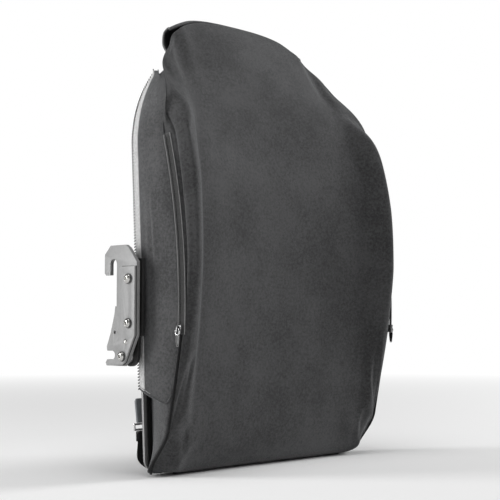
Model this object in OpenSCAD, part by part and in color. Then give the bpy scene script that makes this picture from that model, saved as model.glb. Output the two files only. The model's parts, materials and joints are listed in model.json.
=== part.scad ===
// Deep contour wheelchair back support.
// Frame: +X is to the right seen from the front, -Y faces the user, +Z is up.
// The origin is under the middle of the whole object, at the height of its lowest point.

/* [Cushion] */
// Half the width of the cushion at the zips
cushion_hw = 191; // [188:1:193]
// Height of the whole back
cushion_h = 578; // [560:1:590]
// Height at which the shoulders start to curve in
shoulder_z = 400; // [390:1:410]
// Height at which the shoulders meet the head
neck_z = 498; // [490:1:505]
// Half the width of the head
head_hw = 143; // [140:1:146]
// Y of the foremost line of the side bolsters
crest_y = -78; // [-79:1:-74]
// Y of the front in the middle, between the bolsters
centre_y = -37; // [-42:1:-32]
// Height at which the bolsters stand furthest forward
crest_z = 255; // [240:5:270]
// Thickness of the stretch cover
cover_t = 2.5; // [2:0.25:3]
// Radius of the two bottom corners
corner_r = 16; // [10:1:22]

/* [Shell] */
// Bend radius of the outside of the shell
shell_r = 630; // [600:10:680]
// Thickness of the shell sheet
shell_t = 3; // [2.5:0.5:3.5]
// Half the width of the shell at the wings
shell_hw = 192; // [190:1:193]
// Y of the outside of the shell at its middle, at the level lean_z
shell_y = 42; // [40:1:44]
// Height about which the shell leans back
lean_z = 150; // [120:10:180]
// Backward lean of the shell in degrees
lean = 3; // [2:0.5:3.5]

/* [Zips] */
// Radius of the arc that each side zip follows
zip_r = 720; // [710:5:730]
// Y of the centre of that arc
zip_cy = 659; // [649:1:669]
// Z of the centre of that arc
zip_cz = 203; // [198:5:208]
// Height of the lower end of the zip
zip_z0 = 167; // [160:1:175]
// Height of the upper end of the zip
zip_z1 = 402; // [395:1:405]

/* [Hook plates] */
// X of the outer face of each outer plate
plate_x = 220; // [218:1:222]
// Thickness of the outer plate
outer_t = 3; // [2.5:0.5:3]
// Thickness of the hook plate
hook_t = 5; // [4:0.5:5]
// Gap behind the hook plate that the catch turns in
catch_gap = 3.6; // [3.6:0.1:4]
// Thickness of the flange of the mounting bracket
flange_t = 4; // [3:0.5:4]
// Width of the hook slot, for a 12 mm pin
slot_w = 12.2; // [12.1:0.1:12.4]
// Y of the middle of the hook slot
slot_y = 32; // [31:0.5:33]
// Z of the round top end of the hook slot
slot_z = 250; // [249:1:251]
// Radius of the lower notch, for a 10 mm pin
notch_r = 5.1; // [5.05:0.05:5.2]
// Y of the middle of the lower notch
notch_y = 33.5; // [33:0.5:34]
// Z of the middle of the lower notch
notch_z = 142; // [141:1:143]

/* [Hidden] */
$fn = 64;
SIDES = ["left", "right"];
// Small amount by which cutting tools run past the faces they cut
e = 1;
// Distance from the outside of the cover to the pads below it, measured along Y
pad_y = 7;
// Height of the foot of the pads, and of the top of the bolsters
pad_z0 = 30;
bolster_z1 = 480;
// Gap between parts that lie against each other's curved faces
lay_gap = 0.3;
// Depth of the space between the shell and the foam, filled by the loop strips
foam_gap = 4;
// Middle of the shell's bend, in the leaned frame of the shell
shell_cy = shell_y - shell_r;
// Height at which the head starts to round over, and the shares that shape its curve
head_z = 480;
head_rise = 3;
head_spread = 3.2;
// Half the width of the two zip tapes together
zip_tape_hw = 4.4;
// How far the bolsters fall back at their top and at their foot
crest_fall_top = 44;
crest_fall_foot = 50;
// Heights between which the bolsters run out into the head, and how far its edges then fall back
head_blend_z = [455, 530];
head_edge_fall = 14;
// How far the middle falls back at its top and at its foot
centre_fall_top = 76;
centre_fall_foot = 14;
// Height at which the middle starts to fall back to the head
centre_z = 300;
// Where the bolster steepens, peaks and ends, as shares of the half width
bolster_u = [0.79, 0.925, 1];
// Share of its full rise that the bolster has where it steepens, and the power of the hollow up to there
mid_rise = 0.38;
hollow_power = 1.8;
// Share of it at the outer corner, at the top and in the middle, and how much is left at the foot
corner_rise_top = 0.17;
corner_rise_middle = 0.66;
corner_rise_foot = 0.5;
// Height above the foot over which the corner gains its full share
foot_blend_z = 200;
// Number of rows of the soft solids up the height
rows = 22;
// Half width of the back of the cushion, where its side meets the shell
cushion_back_hw = 182;
// Height at which the shell starts to neck in below the head, how far up that runs, and the half width above
shell_neck_z = 490;
shell_neck_h = 28;
shell_head_hw = 112;
// Height of the top edge of the shell in the middle, below the top of the cushion
shell_drop = 9;
// Power that shapes the round top of the shell
shell_round = 2.6;
// Half width of the hood
hood_hw = 114;
// Height of the lower hem of the hood's rear part
hood_z = 492;
// Height of the upper end of the side flaps
flap_z1 = 496;
// Height that the tail of the cover reaches up the back of the shell
tail_z = 50;
// Half width of the tail
tail_hw = 189;
// Width of the tail under the cushion, as a share of its width behind the shell
tail_under = 0.8;
// Distance from the middle of the straps that hold up the corners of the tail
strap_x = 175;
// Places of the two fixing bolts, the pivot bolt and the stop pin, as [y, z]
bolt_1 = [0, 232];
bolt_2 = [0, 180];
pivot = [11, 141];
stop_at = [5, 158];
plate_bolt_places = [bolt_1, bolt_2, pivot];
// Screw sizes: thread radius, button head radius and height, key width, washer and nut
m6_r = 3;
m6_hole_r = 3.3;
head_r = 5.3;
head_h = 3.2;
key_w = 4;
washer_r = 6;
washer_t = 1.6;
nut_w = 10;
nut_t = 4.6;
// X of the faces of the stack of plates, from the outside in
outer_in = plate_x - outer_t;
hook_in = outer_in - hook_t;
flange_out = hook_in - catch_gap;
flange_in = flange_out - flange_t;
catch_t = 3;
// Places of the shell bolts: half distances across, and heights
shell_bolt_x = [110, 150];
shell_bolt_z = [176, 232];
arm_z0 = 152;
arm_z1 = 256;
arm_x0 = 92;
arm_t = 4;

// Mirrors its children to the left or leaves them on the right.
module on_side(side) {
  if (side == "left") mirror([1, 0, 0]) children();
  else children();
}

// Linear blend from a to b.
function mix(a, b, t) = a + (b - a) * t;

// Blend from 0 to 1 with level ends.
function smooth(t) = let (c = max(0, min(1, t))) c * c * (3 - 2 * c);

// Half width of the cushion at height z.
function half_w(z) =
  z > shoulder_z ? max(shoulder_w(z), head_w(z))
  : z < corner_r ? cushion_hw - corner_r + sqrt(pow(corner_r, 2) - pow(corner_r - z, 2))
  : cushion_hw;

// Half width of the shoulders at height z, above the level where they curve in.
function shoulder_w(z) =
  z > neck_z ? 0
  : head_hw + (cushion_hw - head_hw) * (1 - pow((z - shoulder_z) / (neck_z - shoulder_z), 2));

// Half width of the head at height z.
function head_w(z) =
  z < head_z ? 0
  : head_hw * pow(max(0, 1 - pow((z - head_z) / (cushion_h - head_z), head_rise)), 1 / head_spread);

// Height of the top edge of the head at x.
function head_top(x) =
  head_z + (cushion_h - head_z) * pow(1 - pow(abs(x) / head_hw, head_spread), 1 / head_rise);

// Y of the front in the middle, at height z.
function middle_y(z) =
  z > centre_z ? centre_y + centre_fall_top * pow((z - centre_z) / (cushion_h - centre_z), 2.4)
  : z < crest_z ? centre_y + centre_fall_foot * pow((crest_z - z) / crest_z, 2)
  : centre_y;

// Y of the crest of the bolsters, at height z.
function bolster_y(z) =
  z > crest_z
  ? mix(crest_y + crest_fall_top * pow((z - crest_z) / 220, 2.45), middle_y(z) + head_edge_fall,
        head_share(z))
  : crest_y + crest_fall_foot * pow((crest_z - z) / crest_z, 1.3);

// Share of the way from the shoulders to the head at height z, where the bolsters run out.
function head_share(z) = smooth((z - head_blend_z[0]) / (head_blend_z[1] - head_blend_z[0]));

// Share of the bolster's rise at its outer corner, at height z.
function corner_rise(z) =
  let (body = mix(corner_rise_top, corner_rise_middle, smooth((shoulder_z + 20 - z) / 220)))
  mix(body * mix(corner_rise_foot, 1, smooth(z / foot_blend_z)), 1, head_share(z));

// Share of the bolster's rise at height z and u, the distance from the middle as a share of the half width.
function rise(u, z) =
  u < bolster_u[0] ? mid_rise * pow(u / bolster_u[0], hollow_power)
  : u < bolster_u[1] ? mix(mid_rise, 1, smooth((u - bolster_u[0]) / (bolster_u[1] - bolster_u[0])))
  : mix(1, corner_rise(z), pow((u - bolster_u[1]) / (bolster_u[2] - bolster_u[1]), 2));

// Y of the front of the cover, at u across and height z.
function front_y(u, z) = mix(middle_y(z), bolster_y(z), rise(abs(u), z));

// Y of the face of the shell at x and z, d behind its outside.
function shell_face_y(x, z, d) =
  shell_cy + sqrt(pow(shell_r + d, 2) - x * x) + (z - lean_z) * tan(lean);

// Y of the arc of the zip at height z.
function zip_y(z) = zip_cy - sqrt(pow(zip_r, 2) - pow(z - zip_cz, 2));

// Closed solid between two grids of points with the same numbers of rows and columns.
module grid_solid(front, back) {
  n = len(front);
  m = len(front[0]);
  points = concat([for (row = front) each row], [for (row = back) each row]);
  b = n * m;
  ring = concat(
    [for (j = [0:m - 2]) j],
    [for (i = [0:n - 2]) i * m + m - 1],
    [for (j = [m - 1:-1:1]) (n - 1) * m + j],
    [for (i = [n - 1:-1:1]) i * m]
  );
  k = len(ring);
  faces = concat(
    [for (i = [0:n - 2], j = [0:m - 2]) each [
      [i * m + j, i * m + j + 1, (i + 1) * m + j + 1],
      [i * m + j, (i + 1) * m + j + 1, (i + 1) * m + j]]],
    [for (i = [0:n - 2], j = [0:m - 2]) each [
      [b + i * m + j, b + (i + 1) * m + j + 1, b + i * m + j + 1],
      [b + i * m + j, b + (i + 1) * m + j, b + (i + 1) * m + j + 1]]],
    [for (i = [0:k - 1]) let (p = ring[i], q = ring[(i + 1) % k]) each [
      [p, b + p, b + q], [p, b + q, q]]]
  );
  polyhedron(points = points, faces = [for (f = faces) [f[2], f[1], f[0]]]);
}

// Heights of the rows of a soft solid from z0 to z1, closer together towards the top.
function heights(z0, z1) = [for (i = [0:rows]) z0 + (z1 - z0) * (1 - pow(1 - i / rows, 1.5))];

// Layer of the cushion between two shares of its depth, over a range of u, inset from the outline.
module cushion_layer(share_0, share_1, us, z0, z1, inset) {
  zs = heights(z0, z1);
  function at(u, z, share) =
    let (x = u * (half_w(z) - inset))
    [x, mix(shell_face_y(x, z, -shell_t - foam_gap), front_y(x / half_w(z), z) + pad_y, share), z];
  grid_solid(
    [for (z = zs) [for (u = us) at(u, z, share_1)]],
    [for (z = zs) [for (u = us) at(u, z, share_0)]]
  );
}

// Half width of the shell above its shoulders, at height z.
function shell_w(z) =
  let (
    neck = shell_neck_z + shell_neck_h,
    share = max(0, min(1, (z - shell_neck_z) / shell_neck_h)),
    shoulder = half_w(min(z, shell_neck_z) + 6) + shell_hw - cushion_hw
  )
  z > neck
  ? shell_head_hw * pow(1 - pow((z - neck) / (cushion_h - shell_drop - neck), shell_round), 1 / shell_round)
  : mix(shell_head_hw, shoulder, pow(1 - share, 2));

// Outline of the shell, drawn in X and Z.
module shell_outline() {
  top = cushion_h - shell_drop;
  steps = 56;
  right = concat(
    [for (i = [0:6]) let (a = -90 + i * 15)
      [shell_hw - 14 + 14 * cos(a), 20 + 14 * sin(a)]],
    [for (i = [0:steps]) let (z = mix(shoulder_z, top - 0.6, i / steps)) [shell_w(z), z]]
  );
  polygon(concat(right, [for (i = [len(right) - 1:-1:0]) [-right[i][0], right[i][1]]]));
}

// Places its children in the frame of the shell, which leans back about its middle at lean_z.
// The axis of the shell's bend is upright through the origin of that frame.
module shell_frame() {
  translate([0, shell_y, lean_z]) rotate([-lean, 0, 0]) translate([0, -shell_r, -lean_z]) children();
}

// Bent sheet between two radii, standing on its axis.
module bent_sheet(r_out, r_in) {
  difference() {
    translate([0, 0, -40]) cylinder(h = 720, r = r_out, $fn = 256);
    translate([0, 0, -41]) cylinder(h = 722, r = r_in, $fn = 256);
  }
}

// Puts its children at a shell bolt place, with +Z pointing out of the back of the shell.
module at_shell_bolt(x, z) {
  shell_frame() rotate([0, 0, -asin(x / shell_r)]) translate([0, shell_r, z]) rotate([-90, 0, 0]) children();
}

module shell() {
  color([0.62, 0.63, 0.65])
  difference() {
    intersection() {
      shell_frame() bent_sheet(shell_r, shell_r - shell_t);
      translate([0, 200, 0]) rotate([90, 0, 0]) linear_extrude(400) shell_outline();
    }
    // Round holes of the fixing bolts
    for (sx = [-1, 1], x = shell_bolt_x, z = shell_bolt_z) {
      at_shell_bolt(sx * x, z) translate([0, 0, -10]) cylinder(h = 20, r = m6_hole_r);
    }
    // Upright slots that let the bolts move to another height
    for (x = [-60, 60]) {
      for (z = [300, 120]) {
        translate([x, 0, z]) rotate([-90, 0, 0]) linear_extrude(100) slot_shape(60, 4);
      }
    }
  }
}

// Upright slot of a given length between its end centres and a given radius.
module slot_shape(length, r) {
  translate([-r, -length / 2]) square([2 * r, length]);
  for (s = [-1, 1]) translate([0, s * length / 2]) circle(r);
}

module shell_loop_strips() {
  color([0.12, 0.12, 0.13])
  intersection() {
    shell_frame() bent_sheet(shell_r - shell_t - lay_gap, shell_r - shell_t - foam_gap + lay_gap);
    union() {
      for (x = [-85, 35]) translate([x, -100, 30]) cube([50, 250, 470]);
    }
  }
}

module base_foam() {
  color([0.85, 0.80, 0.62])
  cushion_layer(0, 0.46, [for (i = [-8:8]) i / 8], pad_z0, cushion_h - 26, 15);
}

module comfort_layer() {
  color([0.75, 0.78, 0.85])
  cushion_layer(0.5, 1, [for (i = [-7:7]) 0.74 * i / 7], pad_z0, cushion_h - 26, 12);
}

module bolster(side) {
  color([0.70, 0.74, 0.60])
  on_side(side) cushion_layer(0.5, 1, [for (i = [0:6]) mix(0.75, 1, i / 6)], pad_z0, bolster_z1, 13);
}

// Line of the cover around the right half at height z: from the middle to the back of the side.
function half_line(z, d) =
  let (w = half_w(z) - d, back_w = min(w, cushion_back_hw * half_w(z) / cushion_hw - d))
  concat(
    [for (u = [0, 0.2, 0.4, 0.55, 0.68, 0.79, 0.86, 0.925, 0.965, 1]) [u * w, front_y(u, z) + d, z]],
    [[mix(w, back_w, 0.35), mix(front_y(1, z) + d, side_back_y(z), 0.45), z],
     [back_w, side_back_y(z), z]]
  );

// Y of the back end of the side of the cushion, just in front of the shell.
function side_back_y(z) =
  let (
    full = shell_face_y(cushion_back_hw * half_w(z) / cushion_hw, z, -shell_t) - 3,
    short = front_y(1, z) + 3
  )
  max(short, mix(full, short, smooth((z - hood_z + 12) / 12)));

// The same line around both halves, from left to right.
function whole_line(z, d) =
  let (right = half_line(z, d))
  concat([for (i = [len(right) - 1:-1:1]) [-right[i][0], right[i][1], z]], right);

module cover_front() {
  color([0.20, 0.20, 0.21])
  grid_solid(
    [for (z = heights(0, cushion_h - 3)) whole_line(z, 0)],
    [for (z = heights(0, cushion_h - 3)) whole_line(z, cover_t)]
  );
}

// Line of the hood over the top of the shell and down its back, at x, drawn in by d.
function hood_line(x, d) =
  let (
    top_z = head_top(x) - 2,
    front = middle_y(top_z) + head_edge_fall + 2 + 11 * pow(x / hood_hw, 2),
    back = shell_face_y(x, top_z, 7)
  )
  [
    [x, front, top_z - d],
    [x, mix(front, back, 0.5), top_z + 3 - d],
    [x, back - d, top_z - 4 - d],
    [x, back + 2 - d, top_z - 16],
    [x, shell_face_y(x, mix(top_z, hood_z, 0.6), 7) - d, mix(top_z, hood_z, 0.6)],
    [x, shell_face_y(x, hood_z, 6) - d, hood_z]
  ];

module cover_hood() {
  color([0.22, 0.22, 0.23])
  grid_solid(
    [for (i = [-8:8]) hood_line(hood_hw * i / 8, 0)],
    [for (i = [-8:8]) hood_line(hood_hw * i / 8, cover_t)]
  );
}

// How far the tail stands off the back of the shell at x.
function tail_off(x) = 6 + 7 * pow(x / tail_hw, 2);

// Line of the tail: under the cushion and up the back of the shell, at x, drawn in by d.
function tail_line(x, d) =
  let (under_x = tail_under * x)
  [
    [under_x, front_y(0.9 * x / tail_hw, 0) + 14, d],
    [under_x, shell_face_y(x, 0, 0) - 10, d],
    [mix(under_x, x, 0.5), shell_face_y(x, 0, tail_off(x) * 0.7) - d, 2 + d],
    [x, shell_face_y(x, 16, tail_off(x)) - d, 16],
    [x, shell_face_y(x, 36, tail_off(x)) - d, 36],
    [x, shell_face_y(x, tail_z, tail_off(x) - 2) - d, tail_z]
  ];

module cover_tail() {
  color([0.13, 0.13, 0.14])
  grid_solid(
    [for (i = [-8:8]) tail_line(tail_hw * i / 8, 0)],
    [for (i = [-8:8]) tail_line(tail_hw * i / 8, cover_t)]
  );
}

// Height of the lower edge of the side flap at a share t of its depth, from the zip to the shell.
function flap_z0(t) = mix(84, 102, t);

// Point of the side flap at share t of its depth and share s of its height, raised by d.
function flap_point(t, s, d) =
  let (
    z = mix(flap_z0(t), flap_z1, s),
    shell_x = half_w(z + 6) + 3,
    front_x = half_w(z) + 0.6,
    x = mix(front_x, shell_x, t) + 4 * sin(180 * t) + d,
    back = shell_face_y(min(shell_x, shell_hw), z, -shell_t) + 1,
    beside_zip = zip_y(min(z, zip_z1)) + zip_tape_hw + 1.2,
    front = mix(beside_zip, back - 6, pow(max(0, z - zip_z1) / (flap_z1 - zip_z1), 1.7))
  )
  [x, mix(max(front, front_y(1, z) + 2), back, t), z];

module side_flap(side) {
  color([0.36, 0.36, 0.37])
  on_side(side) grid_solid(
    [for (i = [0:16]) [for (t = [0, 0.2, 0.4, 0.6, 0.8]) flap_point(t, i / 16, cover_t)]],
    [for (i = [0:16]) [for (t = [0, 0.2, 0.4, 0.6, 0.8]) flap_point(t, i / 16, 0.4)]]
  );
}

module flap_binding(side) {
  color([0.72, 0.72, 0.74])
  on_side(side) grid_solid(
    [for (i = [0:16]) [for (t = [0.81, 0.9, 1.0]) flap_point(t, i / 16, cover_t)]],
    [for (i = [0:16]) [for (t = [0.81, 0.9, 1.0]) flap_point(t, i / 16, 0.4)]]
  );
}

// Band of the zip between two distances from its line and two distances out from the cover.
module zip_band(d0, d1, x0, x1) {
  intersection() {
    translate([x0, zip_cy, zip_cz]) rotate([0, 90, 0]) difference() {
      cylinder(h = x1 - x0, r = zip_r + d1, $fn = 256);
      translate([0, 0, -e]) cylinder(h = x1 - x0 + 2 * e, r = zip_r + d0, $fn = 256);
    }
    translate([x0 - e, zip_cy - zip_r - 50, zip_z0]) cube([x1 - x0 + 2 * e, 120, zip_z1 - zip_z0]);
  }
}

module zip_tape(side) {
  color([0.30, 0.30, 0.31])
  on_side(side) zip_band(-zip_tape_hw, zip_tape_hw, cushion_hw + 0.4, cushion_hw + 1.4);
}

module zip_teeth(side) {
  color([0.08, 0.08, 0.09])
  on_side(side) zip_band(-1.8, 1.8, cushion_hw + 1.4, cushion_hw + 2.6);
}

// Slider at the lower end of its zip, turned to lie along the arc.
module at_slider() {
  a = asin((zip_z0 + 6 - zip_cz) / zip_r);
  translate([cushion_hw + 3, zip_cy, zip_cz]) rotate([-a, 0, 0]) translate([0, -zip_r, 0]) children();
}

module zip_slider(side) {
  color([0.25, 0.25, 0.26])
  on_side(side) at_slider() {
    // Body plate, wider at the top where it parts the teeth
    rotate([90, 0, 90]) linear_extrude(1.6) polygon([[-3, -5], [3, -5], [4.2, 4.5], [-4.2, 4.5]]);
    // Bridge that the pull hangs on
    difference() {
      translate([1.6, -1.2, -3.4]) cube([3.2, 2.4, 7]);
      translate([2.7, 0, 0.6]) rotate([90, 0, 0]) cylinder(h = 4, r = 1.12, center = true);
    }
  }
}

module zip_pull(side) {
  color([0.55, 0.55, 0.56])
  on_side(side) at_slider() translate([2.1, 0, 0]) {
    // Wire ring through the bridge
    translate([0, 0, -3]) rotate([0, 90, 0]) difference() {
      cylinder(h = 1.2, r = 4.2);
      translate([0, 0, -e]) cylinder(h = 1.2 + 2 * e, r = 3);
    }
    // Tab below the ring
    translate([0, 0, -6.6]) rotate([90, 0, 90]) linear_extrude(1.2)
      polygon([[-3, 0], [3, 0], [2.2, -13], [-2.2, -13]]);
  }
}

// Frame that lies against the back of the shell at a strap, at height z and d behind the shell.
module at_strap(z, d) {
  shell_frame() rotate([0, 0, -asin(strap_x / shell_r)]) translate([0, shell_r + d, z]) children();
}

// Short loop of webbing sewn to the upper hem of the tail.
module tail_strap(side) {
  color([0.10, 0.10, 0.11])
  on_side(side) at_strap(tail_z - 12, 12.6) translate([-10, 0, 0]) cube([20, 2, 12]);
}

// Wire loop between the strap and the pull tab.
module tail_buckle(side) {
  color([0.80, 0.80, 0.82])
  on_side(side) at_strap(tail_z + 5, 13.4) rotate([-90, 0, 0]) linear_extrude(2.4) difference() {
    square([28, 9], center = true);
    square([22, 4], center = true);
  }
}

// Pull tab that hooks the tail up to the back of the shell.
module tail_tab(side) {
  color([0.45, 0.46, 0.48])
  on_side(side) at_strap(tail_z + 10, 13) rotate([90, 0, 0]) linear_extrude(3)
    polygon([[-11, 0], [11, 0], [14, 26], [11, 29], [-11, 29], [-14, 26]]);
}

// Outline of the hook plate, drawn in Y and Z.
module hook_plate_shape() {
  slot_front = slot_y - slot_w / 2;
  slot_back = slot_y + slot_w / 2;
  difference() {
    union() {
      // Body, shoulder and nose
      polygon([
        [-11, 166], [-11, 252], [4, 269], [10, 272.5], [38, 272.5], [49, 262], [49, 239.5], [46.5, 237],
        [38, 237], [slot_back, 238], [slot_front, 238], [slot_front, 215], [30, 190], [37, 168],
        [44, 152], [43, 147], [notch_y, 147], [notch_y, 137], [43, 137], [46, 133], [44, 129.5],
        [12, 129.5], [6, 134]
      ]);
    }
    // Hook slot, open downwards
    translate([slot_y, slot_z]) circle(slot_w / 2);
    translate([slot_front, 200]) square([slot_w, slot_z - 200]);
    // Lower notch, open to the rear
    translate([notch_y, notch_z]) circle(notch_r);
    translate([notch_y, notch_z - notch_r]) square([20, 2 * notch_r]);
    // Small lanyard hole
    translate([29, 169]) circle(2);
  }
}

// Outline of the outer plate, drawn in Y and Z.
module outer_plate_shape() {
  difference() {
    polygon([
      [-11, 166], [-11, 246.5], [15, 246.5], [17.5, 244], [17.5, 166], [20, 160], [28, 155.5], [32, 154],
      [32, 131], [11.5, 131], [6, 134.5]
    ]);
    translate([notch_y, notch_z]) circle(12);
  }
}

// Stands a Y-Z drawing up as a plate whose outer face is at x.
module side_plate(x_out, t) {
  translate([x_out - t, 0, 0]) rotate([90, 0, 90]) linear_extrude(t) children();
}

// Round holes across the plates at given places.
module cross_holes(places, r) {
  for (p = places) translate([100, p[0], p[1]]) rotate([0, 90, 0]) cylinder(h = 150, r = r);
}

module hook_plate(side) {
  color([0.63, 0.63, 0.64])
  on_side(side) difference() {
    side_plate(outer_in, hook_t) hook_plate_shape();
    cross_holes(plate_bolt_places, m6_hole_r);
    cross_holes([stop_at], 2);
  }
}

module outer_plate(side) {
  color([0.60, 0.60, 0.61])
  on_side(side) difference() {
    side_plate(plate_x, outer_t) outer_plate_shape();
    cross_holes(plate_bolt_places, m6_hole_r);
    cross_holes([stop_at], 2);
  }
}

module bracket(side) {
  color([0.08, 0.08, 0.08])
  on_side(side) difference() {
    union() {
      side_plate(flange_out, flange_t) {
        translate([-11, 165]) square([35, arm_z1 - 165]);
        translate([-4, 141]) square([28, 30]);
        translate([10, 143]) circle(14);
      }
      // Curved arm that lies against the back of the shell
      intersection() {
        shell_frame() bent_sheet(shell_r + arm_t + lay_gap, shell_r + lay_gap);
        translate([arm_x0, -100, arm_z0]) cube([flange_in + 1 - arm_x0, 300, arm_z1 - arm_z0]);
      }
    }
    cross_holes([bolt_1, bolt_2, pivot], m6_hole_r);
    for (x = shell_bolt_x, z = shell_bolt_z) {
      at_shell_bolt(x, z) translate([0, 0, -10]) cylinder(h = 30, r = m6_hole_r);
    }
  }
}

module plate_spacers(side) {
  color([0.70, 0.70, 0.70])
  on_side(side) for (p = [bolt_1, bolt_2]) {
    translate([flange_out, p[0], p[1]]) rotate([0, 90, 0]) difference() {
      cylinder(h = catch_gap, r = 6);
      translate([0, 0, -e]) cylinder(h = catch_gap + 2 * e, r = m6_hole_r);
    }
  }
}

// Button head screw along +Z, its head above z = 0 and its shank of a given length below.
module button_screw(length) {
  difference() {
    union() {
      cylinder(h = head_h * 0.4, r = head_r);
      translate([0, 0, head_h * 0.4]) intersection() {
        cylinder(h = head_h * 0.6, r = head_r);
        translate([0, 0, -5.8]) sphere(r = sqrt(5.8 * 5.8 + head_r * head_r));
      }
      translate([0, 0, -length]) cylinder(h = length + 0.1, r = m6_r);
    }
    translate([0, 0, 1]) cylinder(h = head_h, r = key_w / 2 / cos(30), $fn = 6);
  }
}

module plate_bolts(side) {
  color([0.70, 0.70, 0.68])
  on_side(side) for (p = plate_bolt_places) {
    translate([plate_x + washer_t, p[0], p[1]]) rotate([0, 90, 0])
      button_screw(plate_x + washer_t - flange_in + nut_t);
  }
}

module ring_washer(r, hole_r, t) {
  difference() {
    cylinder(h = t, r = r);
    translate([0, 0, -e]) cylinder(h = t + 2 * e, r = hole_r);
  }
}

module plate_washers(side) {
  color([0.35, 0.35, 0.35])
  on_side(side) for (p = plate_bolt_places) {
    translate([plate_x, p[0], p[1]]) rotate([0, 90, 0]) ring_washer(washer_r, m6_hole_r, washer_t);
  }
}

module plate_nuts(side) {
  color([0.60, 0.60, 0.58])
  on_side(side) for (p = plate_bolt_places) {
    translate([flange_in - nut_t, p[0], p[1]]) rotate([0, 90, 0]) difference() {
      cylinder(h = nut_t, r = nut_w / 2 / cos(30), $fn = 6);
      translate([0, 0, -e]) cylinder(h = nut_t + 2 * e, r = m6_r);
    }
  }
}

// Pin with a small domed head that limits the catch.
module stop_pin(side) {
  color([0.75, 0.75, 0.74])
  on_side(side) translate([flange_out + 0.3, stop_at[0], stop_at[1]]) rotate([0, 90, 0]) {
    cylinder(h = plate_x - flange_out - 0.3, r = 2);
    translate([0, 0, plate_x - flange_out - 0.3]) intersection() {
      cylinder(h = 1.6, r = 3.2);
      translate([0, 0, -2.6]) sphere(r = 4.2);
    }
  }
}

// Catch that swings down behind a pin in the lower notch.
module catch(side) {
  color([0.55, 0.55, 0.54])
  on_side(side) difference() {
    side_plate(hook_in - 0.3, catch_t) {
      translate(pivot) circle(8);
      polygon([
        [7, 146], [13, 134], [19, 141], [24, 149.5], [34, 150.5], [40, 149], [42, 148.5],
        [42, 153], [34, 157], [22, 157], [14, 151]
      ]);
    }
    cross_holes([pivot], m6_r + 0.06);
  }
}

module shell_bolts(side) {
  color([0.30, 0.30, 0.30])
  on_side(side) for (x = shell_bolt_x, z = shell_bolt_z) {
    at_shell_bolt(x, z) translate([0, 0, arm_t + lay_gap + washer_t])
      button_screw(arm_t + lay_gap + washer_t + shell_t + 2);
  }
}

module shell_washers(side) {
  color([0.45, 0.45, 0.45])
  on_side(side) for (x = shell_bolt_x, z = shell_bolt_z) {
    at_shell_bolt(x, z) translate([0, 0, arm_t + lay_gap]) ring_washer(washer_r, m6_hole_r, washer_t);
  }
}

module shell_nuts(side) {
  color([0.60, 0.60, 0.58])
  on_side(side) for (x = shell_bolt_x, z = shell_bolt_z) {
    at_shell_bolt(x, z) translate([0, 0, -shell_t - 2.4 - lay_gap]) ring_washer(8, m6_r, 2.4);
  }
}

shell();
shell_loop_strips();
base_foam();
comfort_layer();
cover_front();
cover_hood();
cover_tail();
for (side = SIDES) {
  bolster(side);
  side_flap(side);
  flap_binding(side);
  zip_tape(side);
  zip_teeth(side);
  zip_slider(side);
  zip_pull(side);
  tail_strap(side);
  tail_buckle(side);
  tail_tab(side);
  hook_plate(side);
  outer_plate(side);
  bracket(side);
  plate_spacers(side);
  plate_bolts(side);
  plate_washers(side);
  plate_nuts(side);
  stop_pin(side);
  catch(side);
  shell_bolts(side);
  shell_washers(side);
  shell_nuts(side);
}
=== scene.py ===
import json
import math

import bpy
import bmesh
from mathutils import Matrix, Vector, noise


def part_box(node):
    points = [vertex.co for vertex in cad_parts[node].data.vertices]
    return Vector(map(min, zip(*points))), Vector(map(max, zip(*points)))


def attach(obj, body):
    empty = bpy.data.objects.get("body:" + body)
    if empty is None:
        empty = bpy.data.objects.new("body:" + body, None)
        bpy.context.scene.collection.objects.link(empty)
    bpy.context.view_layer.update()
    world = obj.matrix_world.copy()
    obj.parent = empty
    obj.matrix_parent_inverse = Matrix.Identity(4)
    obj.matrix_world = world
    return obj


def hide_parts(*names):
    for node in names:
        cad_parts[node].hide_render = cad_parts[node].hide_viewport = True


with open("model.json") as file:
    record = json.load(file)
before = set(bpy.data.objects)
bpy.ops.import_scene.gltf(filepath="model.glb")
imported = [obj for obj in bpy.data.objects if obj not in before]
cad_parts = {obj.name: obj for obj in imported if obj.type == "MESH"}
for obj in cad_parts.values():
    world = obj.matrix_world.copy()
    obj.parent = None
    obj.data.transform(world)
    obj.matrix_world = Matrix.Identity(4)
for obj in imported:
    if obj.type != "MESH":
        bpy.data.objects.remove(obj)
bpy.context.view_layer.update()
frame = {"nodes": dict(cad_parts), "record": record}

# ---------------------------------------------------------------- sizes, in millimetres

MM = 0.001
SIDES = (("left", -1), ("right", 1))

# The cushion, as its CAD solid has it
CUSHION_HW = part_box("cover_front")[1].x / MM
CUSHION_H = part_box("cover_front")[1].z / MM + 3
SHOULDER_Z, NECK_Z, HEAD_HW, HEAD_Z = 400, 498, 143, 480
HEAD_RISE, HEAD_SPREAD = 3, 3.2
CREST_Y, CENTRE_Y, CREST_Z, CENTRE_Z = -78, -37, 255, 300
CREST_FALL_TOP, CREST_FALL_FOOT = 44, 50
CENTRE_FALL_TOP, CENTRE_FALL_FOOT = 76, 14
HEAD_BLEND_Z, HEAD_EDGE_FALL = (425, 515), 14
BOLSTER_U = (0.79, 0.925, 1)
MID_RISE, HOLLOW_POWER = 0.38, 1.8
CORNER_RISE_TOP, CORNER_RISE_MIDDLE, CORNER_RISE_FOOT, FOOT_BLEND_Z = 0.17, 0.66, 0.5, 200
CORNER_R = 16
BACK_HW = 178
FOOT_R = 14

# The bent shell behind it
SHELL_R, SHELL_T, SHELL_HW, SHELL_Y = 630, 3, 192, 42
LEAN_Z, LEAN = 150, math.radians(3)

# The arc of the zips
ZIP_R, ZIP_CY, ZIP_CZ, ZIP_Z0, ZIP_Z1 = 720, 659, 203, 167, 402

# Where the seam between the front panel and the side runs, as a share of the half width
SEAM_U = 0.985


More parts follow.
